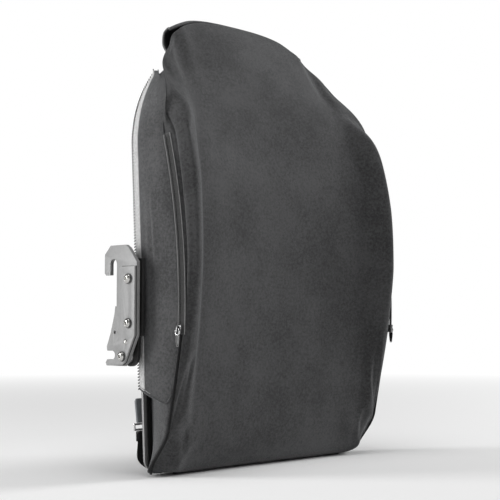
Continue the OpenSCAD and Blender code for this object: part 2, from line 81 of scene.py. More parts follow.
def mix(a, b, t):
    return a + (b - a) * t


def smooth(t):
    c = max(0.0, min(1.0, t))
    return c * c * (3 - 2 * c)


def bell(t, width):
    return math.exp(-(t / width) ** 2)


def shoulder_w(z):
    if z > NECK_Z:
        return 0
    return HEAD_HW + (CUSHION_HW - HEAD_HW) * (1 - ((z - SHOULDER_Z) / (NECK_Z - SHOULDER_Z)) ** 2)


def head_w(z):
    if z < HEAD_Z:
        return 0
    share = min(1, (z - HEAD_Z) / (CUSHION_H - HEAD_Z))
    return HEAD_HW * (1 - share ** HEAD_RISE) ** (1 / HEAD_SPREAD)


def half_w(z):
    """Half width of the cushion at height z."""
    if z > SHOULDER_Z:
        return max(shoulder_w(z), head_w(z))
    if z < CORNER_R:
        return CUSHION_HW - CORNER_R + math.sqrt(CORNER_R ** 2 - (CORNER_R - z) ** 2)
    return CUSHION_HW


def head_top(x):
    """Height of the top edge of the head at x."""
    share = min(1, abs(x) / HEAD_HW)
    return HEAD_Z + (CUSHION_H - HEAD_Z) * (1 - share ** HEAD_SPREAD) ** (1 / HEAD_RISE)


def middle_y(z):
    if z > CENTRE_Z:
        return CENTRE_Y + CENTRE_FALL_TOP * ((z - CENTRE_Z) / (CUSHION_H - CENTRE_Z)) ** 2.4
    if z < CREST_Z:
        return CENTRE_Y + CENTRE_FALL_FOOT * ((CREST_Z - z) / CREST_Z) ** 2
    return CENTRE_Y


def head_share(z):
    """Share of the way from the shoulders to the head, where the bolsters run out."""
    return smooth((z - HEAD_BLEND_Z[0]) / (HEAD_BLEND_Z[1] - HEAD_BLEND_Z[0]))


def bolster_y(z):
    if z > CREST_Z:
        crest = CREST_Y + CREST_FALL_TOP * ((z - CREST_Z) / 220) ** 2.45
        return mix(crest, middle_y(z) + HEAD_EDGE_FALL, head_share(z))
    return CREST_Y + CREST_FALL_FOOT * ((CREST_Z - z) / CREST_Z) ** 1.3


def corner_rise(z):
    """Share of the bolster's rise at its outer corner, at height z."""
    body = mix(CORNER_RISE_TOP, CORNER_RISE_MIDDLE, smooth((SHOULDER_Z + 20 - z) / 220))
    return mix(body * mix(CORNER_RISE_FOOT, 1, smooth(z / FOOT_BLEND_Z)), 1, head_share(z))


def rise(u, z):
    """Share of the bolster's rise at height z and u, the share of the width from the middle."""
    u0, u1, u2 = BOLSTER_U
    if u < u0:
        return MID_RISE * (u / u0) ** HOLLOW_POWER
    if u < u1:
        return mix(MID_RISE, 1, smooth((u - u0) / (u1 - u0)))
    return mix(1, corner_rise(z), ((u - u1) / (u2 - u1)) ** 2)


def foot_round(z):
    """How far the foot of the cushion rounds back at height z."""
    if z > FOOT_R:
        return 0
    return FOOT_R - math.sqrt(FOOT_R ** 2 - (FOOT_R - z) ** 2)


def corner_wrap(u, z):
    """How far the front panel wraps back round the corner of the foot, at u and height z."""
    return 24 * smooth((u - 0.86) / 0.13) * smooth((56 - z) / 56)


def front_y(u, z):
    return mix(middle_y(z), bolster_y(z), rise(abs(u), z)) + foot_round(z)


def shell_y(x, z, d):
    """Y of the face of the shell at x and z, d behind its outside."""
    return SHELL_Y - SHELL_R + math.sqrt((SHELL_R + d) ** 2 - x * x) + (z - LEAN_Z) * math.tan(LEAN)


def zip_y(z):
    return ZIP_CY - math.sqrt(ZIP_R ** 2 - (z - ZIP_CZ) ** 2)


# ---------------------------------------------------------------- mesh helpers

def new_object(name, points, faces, material, scale=MM):
    """A smooth-shaded object from points in millimetres."""
    mesh = bpy.data.meshes.new(name)
    mesh.from_pydata([Vector(p) * scale for p in points], [], faces)
    mesh.validate()
    bm = bmesh.new()
    bm.from_mesh(mesh)
    bmesh.ops.recalc_face_normals(bm, faces=bm.faces)
    for face in bm.faces:
        face.smooth = True
    bm.to_mesh(mesh)
    bm.free()
    obj = bpy.data.objects.new(name, mesh)
    bpy.context.scene.collection.objects.link(obj)
    mesh.materials.append(material)
    return obj


def grid_faces(n, m, start=0):
    return [
        (start + i * m + j, start + i * m + j + 1,
         start + (i + 1) * m + j + 1, start + (i + 1) * m + j)
        for i in range(n - 1)
        for j in range(m - 1)
    ]


def normals(grid):
    """Unit normals of a grid of points, by its neighbours."""
    n, m = len(grid), len(grid[0])
    rows = []
    for i in range(n):
        row = []
        for j in range(m):
            up = Vector(grid[min(i + 1, n - 1)][j]) - Vector(grid[max(i - 1, 0)][j])
            along = Vector(grid[i][min(j + 1, m - 1)]) - Vector(grid[i][max(j - 1, 0)])
            row.append(along.cross(up).normalized())
        rows.append(row)
    return rows


def closed_sheet(name, outer, thickness, material, levels=1):
    """A sheet with real thickness whose outside is a grid of points."""
    n, m = len(outer), len(outer[0])
    ways = normals(outer)
    inner = [[Vector(outer[i][j]) - ways[i][j] * thickness for j in range(m)] for i in range(n)]
    return solid_between(name, outer, inner, material, levels)


def solid_between(name, outer, inner, material, levels=1):
    """A closed solid between two grids of points."""
    n, m = len(outer), len(outer[0])
    points = [p for row in outer for p in row] + [p for row in inner for p in row]
    b = n * m
    faces = grid_faces(n, m) + [tuple(reversed(f)) for f in grid_faces(n, m, b)]
    ring = [j for j in range(m - 1)]
    ring += [i * m + m - 1 for i in range(n - 1)]
    ring += [(n - 1) * m + j for j in range(m - 1, 0, -1)]
    ring += [i * m for i in range(n - 1, 0, -1)]
    for k, p in enumerate(ring):
        q = ring[(k + 1) % len(ring)]
        faces.append((p, b + p, b + q, q))
    obj = new_object(name, points, faces, material)
    if levels:
        subdivide(obj, levels)
    return obj


def subdivide(obj, levels=1):
    mod = obj.modifiers.new("Subdivision", "SUBSURF")
    mod.levels = mod.render_levels = levels


def tube_mesh(path, radius, sides, closed=False, flat=1.0, out=None):
    """Points and faces of a tube along a path. flat squeezes it across out."""
    points, faces = [], []
    n = len(path)
    for i, p in enumerate(path):
        here = Vector(p)
        before = Vector(path[i - 1]) if i or closed else here
        after = Vector(path[(i + 1) % n]) if i < n - 1 or closed else here
        along = (after - before).normalized()
        side = along.cross(Vector(out or (0.31, 0.17, 0.93)))
        side = side.normalized() if side.length > 1e-6 else along.orthogonal().normalized()
        up = side.cross(along).normalized()
        r = radius[i] if isinstance(radius, (list, tuple)) else radius
        for k in range(sides):
            a = 2 * math.pi * k / sides
            points.append(here + side * (r * math.cos(a)) + up * (r * flat * math.sin(a)))
    last = n if closed else n - 1
    for i in range(last):
        for k in range(sides):
            a, b = i * sides + k, i * sides + (k + 1) % sides
            c, d = ((i + 1) % n) * sides + (k + 1) % sides, ((i + 1) % n) * sides + k
            faces.append((a, b, c, d))
    if not closed:
        faces.append(tuple(reversed(range(sides))))
        faces.append(tuple((n - 1) * sides + k for k in range(sides)))
    return points, faces


def tube(name, path, radius, sides, material, closed=False, flat=1.0, out=None):
    points, faces = tube_mesh(path, radius, sides, closed, flat, out)
    return new_object(name, points, faces, material)


def joined(name, parts, material):
    """One object from several (points, faces) pairs."""
    points, faces = [], []
    for part_points, part_faces in parts:
        start = len(points)
        points += part_points
        faces += [tuple(start + v for v in face) for face in part_faces]
    return new_object(name, points, faces, material)


def curve_through(controls, steps):
    """Points of a smooth curve through control points, steps to a span."""
    points = []
    for i in range(len(controls) - 1):
        p0 = Vector(controls[max(i - 1, 0)])
        p1, p2 = Vector(controls[i]), Vector(controls[i + 1])
        p3 = Vector(controls[min(i + 2, len(controls) - 1)])
        for k in range(steps):
            t = k / steps
            points.append(
                0.5 * ((2 * p1) + (p2 - p0) * t + (2 * p0 - 5 * p1 + 4 * p2 - p3) * t * t
                       + (3 * p1 - p0 - 3 * p2 + p3) * t ** 3)
            )
    points.append(Vector(controls[-1]))
    return points


def stitch_row(name, places, along, out, size, material):
    """Small rounded stitches at places, each pointing along and standing a little out."""
    parts = []
    for place, way, face in zip(places, along, out):
        way, face = Vector(way).normalized(), Vector(face).normalized()
        half = way * (size[0] / 2)
        lift = face * size[2]
        path = [Vector(place) - half, Vector(place) - half * 0.55 + lift, Vector(place) + half * 0.55 + lift,
                Vector(place) + half]
        parts.append(tube_mesh(path, [size[1] * 0.5, size[1], size[1], size[1] * 0.5], 6, out=tuple(face)))
    return joined(name, parts, material)


def rounded_copy(node, material, width=0.35, segments=2):
    """A copy of a CAD node with clean faces and small rounded edges."""
    source = frame["nodes"][node]
    mesh = source.data.copy()
    bm = bmesh.new()
    bm.from_mesh(mesh)
    bmesh.ops.remove_doubles(bm, verts=bm.verts, dist=2e-6)
    bmesh.ops.dissolve_limit(bm, angle_limit=math.radians(1), verts=bm.verts, edges=bm.edges)
    for face in bm.faces:
        face.smooth = True
    bm.to_mesh(mesh)
    bm.free()
    mesh.materials.clear()
    mesh.materials.append(material)
    obj = bpy.data.objects.new(node + "_finished", mesh)
    bpy.context.scene.collection.objects.link(obj)
    mod = obj.modifiers.new("Bevel", "BEVEL")
    mod.width = width * MM
    mod.segments = segments
    mod.limit_method = "ANGLE"
    mod.angle_limit = math.radians(32)
    mod.harden_normals = True
    mod.use_clamp_overlap = True
    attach(obj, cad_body(node))
    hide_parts(node)
    return obj


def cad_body(node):
    """The body that a CAD node belongs to."""
    for body, members in frame["record"]["behaviour"]["bodies"].items():
        if node in members:
            return body


# ---------------------------------------------------------------- materials

def node_tree(name):
    material = bpy.data.materials.new(name)
    material.use_nodes = True
    tree = material.node_tree
    return material, tree, tree.nodes["Principled BSDF"]


def add_node(tree, kind, **inputs):
    node = tree.nodes.new(kind)
    for key, value in inputs.items():
        node.inputs[key.replace("_", " ")].default_value = value
    return node


def grey(v, tint=(1, 1, 1)):
    return (v * tint[0], v * tint[1], v * tint[2], 1)


def noise_node(tree, coords, scale, detail=2.0, roughness=0.5):
    node = add_node(tree, "ShaderNodeTexNoise", Scale=scale, Detail=detail, Roughness=roughness)
    tree.links.new(coords, node.inputs["Vector"])
    return node.outputs["Fac"]


def ramp(tree, value, stops):
    """Colour ramp with (place, colour) stops."""
    node = tree.nodes.new("ShaderNodeValToRGB")
    tree.links.new(value, node.inputs["Fac"])
    elements = node.color_ramp.elements
    elements[0].position, elements[0].color = stops[0]
    elements[1].position, elements[1].color = stops[-1]
    for place, colour in stops[1:-1]:
        elements.new(place).color = colour
    return node.outputs["Color"]


def math_node(tree, kind, a, b):
    node = tree.nodes.new("ShaderNodeMath")
    node.operation = kind
    for socket, value in zip(node.inputs, (a, b)):
        if isinstance(value, (int, float)):
            socket.default_value = value
        else:
            tree.links.new(value, socket)
    return node.outputs[0]


def mix_colour(tree, factor, a, b, blend="MIX"):
    node = tree.nodes.new("ShaderNodeMix")
    node.data_type = "RGBA"
    node.blend_type = blend
    for key, value in (("Factor", factor), ("A", a), ("B", b)):
        socket = next(s for s in node.inputs
                      if s.name == key and s.enabled and s.type in ("VALUE", "RGBA"))
        if hasattr(value, "links") or hasattr(value, "is_output"):
            tree.links.new(value, socket)
        else:
            socket.default_value = value
    return next(s for s in node.outputs if s.enabled)


def bump(tree, shader, height, strength, distance):
    node = add_node(tree, "ShaderNodeBump", Strength=strength, Distance=distance)
    tree.links.new(height, node.inputs["Height"])
    tree.links.new(node.outputs["Normal"], shader.inputs["Normal"])


def object_coords(tree):
    return tree.nodes.new("ShaderNodeTexCoord").outputs["Object"]


def weave_height(tree, coords, pitch, lean=0.0):
    """Height of a plain weave with a thread spacing of pitch, in metres."""
    split = tree.nodes.new("ShaderNodeSeparateXYZ")
    tree.links.new(coords, split.inputs[0])
    across = math_node(tree, "ADD", split.outputs["X"], split.outputs["Y"])
    turned = math_node(tree, "ADD", math_node(tree, "MULTIPLY", across, lean), split.outputs["Z"])
    k = 2 * math.pi / pitch
    warp = math_node(tree, "SINE", math_node(tree, "MULTIPLY", across, k), 0)
    weft = math_node(tree, "SINE", math_node(tree, "MULTIPLY", turned, k), 0)
    return math_node(tree, "MULTIPLY", warp, weft)


def fabric(name, dark, light, pitch=0.0012, sheen=0.3, strength=0.35, rough=0.92,
           tint=(1, 1, 1.02)):
    """Stretch knit: a fine weave, a soft speckle and slow patches of lighter nap."""
    material, tree, shader = node_tree(name)
    coords = object_coords(tree)
    weave = weave_height(tree, coords, pitch)
    speckle = noise_node(tree, coords, 300, 3, 0.75)
    nap = noise_node(tree, coords, 16, 4, 0.6)
    tone = math_node(tree, "ADD", math_node(tree, "MULTIPLY", speckle, 0.62),
                     math_node(tree, "MULTIPLY", nap, 0.42))
    # The weave also lightens the tone where its threads stand up: a faint painted highlight.
    tone = math_node(tree, "ADD", tone, math_node(tree, "MULTIPLY", weave, 0.05))
    colour = ramp(tree, tone, [(0.40, grey(dark, tint)), (0.62, grey(light, tint))])
    tree.links.new(colour, shader.inputs["Base Color"])
    height = math_node(tree, "ADD", math_node(tree, "MULTIPLY", weave, 0.5),
                       math_node(tree, "MULTIPLY", speckle, 0.8))
    bump(tree, shader, height, strength, 0.0005)
    shader.inputs["Roughness"].default_value = rough
    shader.inputs["Specular IOR Level"].default_value = 0.25
    shader.inputs["Sheen Weight"].default_value = sheen
    shader.inputs["Sheen Roughness"].default_value = 0.45
    shader.inputs["Sheen Tint"].default_value = (0.85, 0.87, 0.9, 1)
    return material


def ribbed_tape(name, dark, light, pitch=0.0011, rough=0.75):
    """Woven tape with ribs across it, and a painted highlight that lightens the tone on the raised ribs."""
    material, tree, shader = node_tree(name)
    coords = object_coords(tree)
    split = tree.nodes.new("ShaderNodeSeparateXYZ")
    tree.links.new(coords, split.inputs[0])
    turns = math_node(tree, "MULTIPLY", split.outputs["Z"], 2 * math.pi / pitch)
    ribs = math_node(tree, "SINE", turns, 0)
    twill = weave_height(tree, coords, pitch * 0.8, 0.4)
    grain = noise_node(tree, coords, 420, 3, 0.6)
    # Painted highlight: the tone is lighter on the raised tops of the ribs.
    tone = math_node(tree, "ADD", math_node(tree, "MULTIPLY", ribs, 0.16), grain)
    tree.links.new(ramp(tree, tone, [(0.3, grey(dark)), (0.72, grey(light))]),
                   shader.inputs["Base Color"])
    height = math_node(tree, "ADD", ribs, math_node(tree, "MULTIPLY", twill, 0.5))
    bump(tree, shader, height, 0.3, 0.0004)
    shader.inputs["Roughness"].default_value = rough
    shader.inputs["Sheen Weight"].default_value = 0.25
    shader.inputs["Sheen Roughness"].default_value = 0.4
    return material


def foam_material(name, dark, light, tint):
    """Open-cell foam with small pits, with painted shade darkening the bottom of each pit."""
    material, tree, shader = node_tree(name)
    coords = object_coords(tree)
    cells = tree.nodes.new("ShaderNodeTexVoronoi")
    cells.inputs["Scale"].default_value = 520
    tree.links.new(coords, cells.inputs["Vector"])
    patches = noise_node(tree, coords, 60, 3)
    # Painted shade: the tone darkens towards the bottom of each pit.
    tone = math_node(tree, "ADD", cells.outputs["Distance"],
                     math_node(tree, "MULTIPLY", patches, 0.3))
    colour = ramp(tree, tone, [(0.1, grey(dark, tint)), (0.7, grey(light, tint))])
    tree.links.new(colour, shader.inputs["Base Color"])
    bump(tree, shader, cells.outputs["Distance"], 0.5, 0.0008)
    shader.inputs["Roughness"].default_value = 0.95
    shader.inputs["Subsurface Weight"].default_value = 0.05
    return material


def coated_metal(name, dark, light, metallic, rough, grain=1400, strength=0.08, tint=(1, 1, 1)):
    """Powder coat or plating: fine orange peel, slow smudges and a painted highlight along its sharp convex
    edges.
    """
    material, tree, shader = node_tree(name)
    coords = object_coords(tree)
    peel = noise_node(tree, coords, grain, 2, 0.5)
    smudge = noise_node(tree, coords, 42, 5, 0.62)
    body = ramp(tree, smudge, [(0.3, grey(dark, tint)), (0.7, grey(light, tint))])
    # Painted highlight: sharp convex edges get a lighter colour, in noisy patches, for the light they catch.
    geometry = tree.nodes.new("ShaderNodeNewGeometry")
    edge_highlight_mask = ramp(tree, geometry.outputs["Pointiness"], [(0.505, grey(0)), (0.56, grey(0.45))])
    patchy_edge_highlight = math_node(tree, "MULTIPLY", noise_node(tree, coords, 260, 3, 0.7), edge_highlight_mask)
    edge = grey(min(1, light * 1.9 + 0.04), tint)
    tree.links.new(mix_colour(tree, patchy_edge_highlight, body, edge), shader.inputs["Base Color"])
    roughness = ramp(tree, smudge, [(0.2, grey(max(0.02, rough - 0.07))), (0.8, grey(rough + 0.08))])
    tree.links.new(roughness, shader.inputs["Roughness"])
    shader.inputs["Metallic"].default_value = metallic
    bump(tree, shader, peel, strength, 0.0003)
    return material


def moulded_plastic(name, dark, light, rough=0.4, tint=(1, 1, 1)):
    """Moulded plastic with a faint spark-eroded texture."""
    material, tree, shader = node_tree(name)
    coords = object_coords(tree)
    grain = noise_node(tree, coords, 900, 2, 0.5)
    flow = noise_node(tree, coords, 30, 3, 0.5)
    tone = ramp(tree, flow, [(0.3, grey(dark, tint)), (0.7, grey(light, tint))])
    tree.links.new(tone, shader.inputs["Base Color"])
    bump(tree, shader, grain, 0.12, 0.0003)
    tree.links.new(ramp(tree, grain, [(0.3, grey(rough - 0.06)), (0.7, grey(rough + 0.06))]),
                   shader.inputs["Roughness"])
    shader.inputs["Coat Weight"].default_value = 0.1
    return material


cover_fabric = fabric("cover_fabric", 0.030, 0.066, sheen=0.16)
side_fabric = fabric("side_fabric", 0.040, 0.086, pitch=0.0014, sheen=0.3)
lining_fabric = fabric("lining_fabric", 0.004, 0.009, sheen=0.05, tint=(1, 1, 1.05))
# Near-black, for the painted shadow laid in the seam of the front panel.
seam_shadow_fabric = fabric("seam_shadow_fabric", 0.006, 0.014, pitch=0.0006, sheen=0.1)
binding_tape = ribbed_tape("binding_tape", 0.34, 0.60)
hem_tape = ribbed_tape("hem_tape", 0.14, 0.26)
stitch_thread = ribbed_tape("stitch_thread", 0.02, 0.05, pitch=0.0005)
zip_weave = ribbed_tape("zip_weave", 0.022, 0.05, pitch=0.0009)
coil_plastic = moulded_plastic("coil_plastic", 0.008, 0.02, 0.35)
zip_coating = coated_metal("zip_coating", 0.06, 0.12, 0.9, 0.3)
zip_bright = coated_metal("zip_bright", 0.45, 0.62, 1.0, 0.22)
webbing = ribbed_tape("webbing", 0.006, 0.016, pitch=0.0016)
bright_wire = coated_metal("bright_wire", 0.75, 0.9, 1.0, 0.14)
tab_plastic = moulded_plastic("tab_plastic", 0.13, 0.20, 0.38, tint=(0.94, 1.0, 1.06))
shell_paint = coated_metal("shell_paint", 0.17, 0.22, 0.25, 0.42, grain=900, strength=0.12)
plate_paint = coated_metal("plate_paint", 0.20, 0.24, 0.1, 0.52, grain=1300, strength=0.1)
bracket_paint = coated_metal("bracket_paint", 0.006, 0.012, 0.1, 0.45, grain=1200, strength=0.15)
bolt_steel = coated_metal("bolt_steel", 0.42, 0.60, 1.0, 0.24, tint=(1, 0.99, 0.96))
black_bolt = coated_metal("black_bolt", 0.02, 0.04, 0.8, 0.35)
washer_steel = coated_metal("washer_steel", 0.06, 0.12, 0.9, 0.34)
catch_steel = coated_metal("catch_steel", 0.35, 0.5, 1.0, 0.3)
loop_tape = fabric("loop_tape", 0.008, 0.02, pitch=0.0008, sheen=0.2, strength=0.7)
base_foam = foam_material("base_foam", 0.45, 0.62, (1.0, 0.93, 0.70))
soft_foam = foam_material("soft_foam", 0.42, 0.60, (0.86, 0.93, 1.0))


# ---------------------------------------------------------------- the cushion cover

NECK = 500
ROWS = 92


def rim_y(z):
    """Y of the back edge of the side of the cushion, which thins out at the head."""
    full = shell_y(BACK_HW * half_w(z) / CUSHION_HW, z, -SHELL_T) - 3
    thin = front_y(1, z) + 8
    return max(thin, mix(full, thin, smooth((z - NECK + 8) / 46)))


def row_height(u, v):
    """Height at u across and share v of the way up, following the curve of the head at the top."""
    side = NECK * (0.5 - 0.5 * math.cos(math.pi * v)) * 0.35 + NECK * v * 0.65
    lift = head_top(abs(u) * half_w(NECK)) - NECK
    return side + lift * smooth((v - 0.62) / 0.38) ** 1.4


def cover_columns():
    """Shares across the half width, closer together where the bolster bends."""
    spans = ((0, 0.40, 8), (0.40, 0.79, 10), (0.79, 0.925, 11), (0.925, 0.965, 5), (0.965, 0.978, 2))
    columns = [a + (b - a) * i / n for a, b, n in spans for i in range(n)]
    return columns + [0.978, 0.9825, SEAM_U, 0.9875, 0.992, 1.0]


def soft_waves(x, z, side_on):
    """Gentle unevenness of stretched fabric over foam."""
    slow = noise.noise(Vector((x * 0.012, z * 0.008, side_on * 7.3)))
    fine = noise.noise(Vector((x * 0.035, z * 0.016, 3.1 + side_on)))
    return 1.1 * slow + 0.45 * fine


def cover_front_point(sign, u, v):
    z = row_height(u, v)
    u_here = abs(u)
    width = half_w(NECK * v) if v < 1 else half_w(NECK)
    x = u_here * width
    y = front_y(min(1, x / max(half_w(min(z, NECK)), 1)), z)
    x *= 1 - 0.04 * smooth((z - NECK) / 40)
    # At the foot the front panel wraps back round the corner
    y += corner_wrap(u_here, z)
    edge = min(1, max(0, v - 0.94) / 0.06)
    y += 5 * (1 - math.sqrt(1 - edge ** 2))
    y -= soft_waves(sign * x, z, 0) * (1 - edge)
    # Folds that the pull of the bolster leaves between the crest and the seam
    y += 1.4 * bell(u_here - 0.955, 0.010) * smooth((430 - z) / 120) * smooth((z - 60) / 120)
    return Vector((sign * x, y, z))


def cover_side_point(sign, t, v):
    """Point on the side of the cushion, at share t of its depth."""
    front = cover_front_point(sign, 1.0, v)
    z = front.z
    width = abs(front.x)
    back_x = min(width, BACK_HW * width / CUSHION_HW)
    back = rim_y(z)
    puff = 3.2 * math.sin(math.pi * t) * smooth((HEAD_Z - z) / 60)
    x = mix(width, back_x, t ** 1.5) + puff * 0.3
    return Vector((sign * x, mix(front.y, back, t), z))


def build_cover():
    """The closed cushion: front panel, sides and back, with its seams marked as held."""
    us = cover_columns()
    sides = [0.05, 0.11, 0.2, 0.32, 0.45, 0.58, 0.7, 0.82, 0.92, 1.0]
    rows_v = [i / ROWS for i in range(ROWS + 1)]
    outer = []
    for v in rows_v:
        left = [cover_side_point(-1, t, v) for t in reversed(sides)]
        left += [cover_front_point(-1, u, v) for u in reversed(us[1:])]
        right = [cover_front_point(1, u, v) for u in us]
        right += [cover_side_point(1, t, v) for t in sides]
        outer.append(left + right)
    columns = len(outer[0])
    seam_column = len(sides) + us[::-1].index(SEAM_U)
    seam_columns = (seam_column, columns - 1 - seam_column)
    inner = []
    for row in outer:
        first, last = row[0], row[-1]
        line = []
        for j, p in enumerate(row):
            share = j / (columns - 1)
            x = mix(first.x, last.x, share)
            z = p.z if 0 < j < columns - 1 else (first.z if j == 0 else last.z)
            full = shell_y(x, z, -SHELL_T) - 3
            edge = (abs(x) / max(abs(first.x), 1)) ** 4
            y = mix(max(full, p.y + 4), max(first.y, p.y + 0.5), edge)
            line.append(Vector((x * 0.998, y, z)))
        inner.append(line)
    obj = solid_between("cushion_cover", outer, inner, cover_fabric, 0)
    obj.data.materials.append(side_fabric)
    for face in obj.data.polygons:
        places = [k % columns for k in face.vertices]
        low = face.center.z < ZIP_Z1 * MM
        if low and (max(places) <= seam_columns[0] or min(places) >= seam_columns[1]):
            face.material_index = 1
    seam = obj.vertex_groups.new(name="held")
    n = len(outer)
    held = list(range(n * columns, 2 * n * columns))
    for i in range(n):
        for j in seam_columns:
            held.append(i * columns + j)
        held += [i * columns, i * columns + columns - 1]
    held += list(range(0, columns)) + list(range((n - 1) * columns, n * columns))
    seam.add(sorted(set(held)), 1.0, "REPLACE")
    return obj, outer, seam_columns


def swell(obj, pressure, cap, frames=20):
    """Blows the piece up a little as cloth, with its held points fixed and each move capped."""
    start = [v.co.copy() for v in obj.data.vertices]
    scene = bpy.context.scene
    scene.frame_start, scene.frame_end = 1, frames
    mod = obj.modifiers.new("Cloth", "CLOTH")
    cloth = mod.settings
    cloth.quality = 6
    cloth.mass = 0.35
    cloth.tension_stiffness = 18
    cloth.compression_stiffness = 18
    cloth.shear_stiffness = 6
    cloth.bending_stiffness = 0.6
    cloth.use_pressure = True
    cloth.uniform_pressure_force = pressure
    cloth.effector_weights.gravity = 0
    cloth.vertex_group_mass = "held"
    mod.point_cache.frame_start, mod.point_cache.frame_end = 1, frames
    for f in range(1, frames + 1):
        scene.frame_set(f)
    evaluated = obj.evaluated_get(bpy.context.evaluated_depsgraph_get())
    moved = [v.co.copy() for v in evaluated.data.vertices]
    obj.modifiers.remove(mod)
    for vertex, before, after in zip(obj.data.vertices, start, moved):
        step = after - before
        if step.length > cap * MM:
            step *= cap * MM / step.length
        vertex.co = before + step
    scene.frame_set(1)


def sink_seam(obj, outer, seam_columns, depth):
    """Presses the seam columns into the cover, so that the panels meet in a groove."""
    columns = len(outer[0])
    ways = normals(outer)
    for i in range(len(outer)):
        height = outer[i][0].z
        fade = smooth((NECK - 30 - height) / 40)
        for j in seam_columns:
            for step, share in ((0, 1.0), (-1, 0.35), (1, 0.35)):
                k = i * columns + j + step
                way = ways[i][j]
                inward = way if way.y > 0 else -way
                obj.data.vertices[k].co += inward * depth * share * fade * MM


cover, cover_grid, seam_columns = build_cover()
swell(cover, 4, 3.0)
sink_seam(cover, cover_grid, seam_columns, 3.6)
subdivide(cover)
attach(cover, "back")
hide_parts("cover_front")


def seam_line(sign, z0, z1, out=0.0, steps=70):
    """Points along the seam at the edge of the front panel."""
    points = []
    for i in range(steps + 1):
        z = mix(z0, z1, i / steps)
        width = half_w(z)
        y = front_y(SEAM_U, z) + corner_wrap(SEAM_U, z) + 0.4
        points.append(Vector((sign * (SEAM_U * width + out), y, z)))
    return points


for side, sign in SIDES:
    # Painted shadow: a near-black tube in the sunk seam stands in for the shade in it.
    shadow_tube = tube("seam_welt_" + side, seam_line(sign, 2, ZIP_Z0 + 2, 0.3), 1.9, 8, seam_shadow_fabric)
    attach(shadow_tube, "back")


def back_panel():
    """Black lining of the cover between cushion and shell, a little wider than the cushion; its near-black
    also paints the shade in the gap between shell and cushion.
    """
    grid = []
    for i in range(49):
        z = mix(5, HEAD_Z - 4, i / 48)
        edge = 187 * half_w(z + 4) / CUSHION_HW
        line = [edge * (-1 + 2 * j / 40) for j in range(41)]
        grid.append([Vector((x, shell_y(x, z, -SHELL_T) - 2.0, z)) for x in line])
    return closed_sheet("cover_back_panel", grid, -0.9, lining_fabric, 0), grid


panel, lining_grid = back_panel()
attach(panel, "back")


# ---------------------------------------------------------------- hood over the top of the shell

HOOD_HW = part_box("cover_hood")[1].x / MM
HEM_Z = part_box("cover_hood")[0].z / MM


def hood_column(u):
    """Line of the hood at u: from the top edge of the cushion over the shell and down its back."""
    x = HOOD_HW * u
    top_z = head_top(x) - 1.5
    front = cover_front_point(1, abs(x) / half_w(NECK), 1.0).y
    back = shell_y(x, top_z, 5)
    middle = [
        (x, front - 0.6, top_z - 0.5), (x, mix(front, back, 0.35), top_z + 2.6),
        (x, back - 1, top_z - 2), (x, back + 3, top_z - 16),
        (x, shell_y(x, mix(top_z, HEM_Z, 0.6), 7), mix(top_z, HEM_Z, 0.6)),
        (x, shell_y(x, HEM_Z, 6), HEM_Z),
    ]
    way = 1 if u > 0 else -1
    end = [
        (way * 124, 40, 552), (way * 121, 45, 556), (way * 124, 50, 550),
        (way * 126, 50, 540), (way * 127, 47, 530), (way * 126, 36, 515),
    ]
    share = smooth((abs(u) - 0.72) / 0.28)
    return curve_through([Vector(a).lerp(Vector(b), share) for a, b in zip(middle, end)], 6)


hood_points = [hood_column(-1 + 2 * i / 64) for i in range(65)]
hood = closed_sheet("top_hood", hood_points, -2.2, cover_fabric)
# The inside of the hood is the black lining; its near-black also paints the shade deep inside the fold.
hood.data.materials.append(lining_fabric)
outside = (len(hood_points) - 1) * (len(hood_points[0]) - 1)
for face in hood.data.polygons[outside:2 * outside]:
    face.material_index = 1
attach(hood, "back")
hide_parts("cover_hood")

for side, sign in SIDES:
    edge = hood_points[0] if sign < 0 else hood_points[-1]
    # A light binding along the hood's side edges; its light tone also paints the highlight on the edge of
    # the fold.
    rim = tube("hood_rim_" + side, edge[2:], 1.0, 8, hem_tape)
    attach(rim, "back")

hem_line = [column[-1] for column in hood_points]
hem = tube("hood_hem", hem_line, 1.7, 8, hem_tape)
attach(hem, "back")


# ---------------------------------------------------------------- side flaps

FLAP_TOP = 496
STRIP_WIDTH = 11.5


def flap_foot(t):
    """Height of the lower edge of the flap at share t of its depth, with a rounded front corner."""
    return mix(84, 102, t) + 12 * max(0, 1 - t / 0.14) ** 2


def flap_front(z, back):
    """X and Y of the front edge of the flap: along the seam, beside the zip, slanting above it."""
    low = (SEAM_U * half_w(z) + 0.4, front_y(SEAM_U, z) + 1.6)
    beside = (CUSHION_HW + 0.2, zip_y(min(z, ZIP_Z1)) + 4.2)
    slant = max(0, z - ZIP_Z1) / (FLAP_TOP - ZIP_Z1)
    high = (half_w(z) + 0.6, max(front_y(1, z) + 2, mix(beside[1], back - 6, slant ** 1.7)))
    up = smooth((z - ZIP_Z0 + 12) / 16)
    over = smooth((z - ZIP_Z1 + 4) / 12)
    x, y = (mix(mix(a, b, up), c, over) for a, b, c in zip(low, beside, high))
    return x, y


def flap_point(sign, t, s, d):
    """Point of the flap at share t of its depth and s of its height, d out of the cover."""
    z = mix(flap_foot(t), FLAP_TOP, s)
    shell_x = half_w(z + 6) + 3
    back = shell_y(min(shell_x, SHELL_HW), z, -SHELL_T) + 1
    front_x, front = flap_front(z, back)
    x = mix(front_x, shell_x, 1 - (1 - t) ** 1.6) + 4 * math.sin(math.pi * t) + d * min(1, 0.55 + t * 4)
    crease = 1.5 * bell(t - 0.60, 0.055) * bell(z - 262, 38)
    crease += 1.1 * bell(t - 0.46, 0.05) * bell(z - 285, 46)
    crease -= 1.2 * bell(t - 0.53, 0.04) * bell(z - 270, 40)
    crease += 0.9 * noise.noise(Vector((t * 3.2, z * 0.012, 5.0 + sign)))
    x += crease * math.sin(math.pi * min(1, t / 0.86))
    return Vector((sign * x, mix(front, back, t), z))


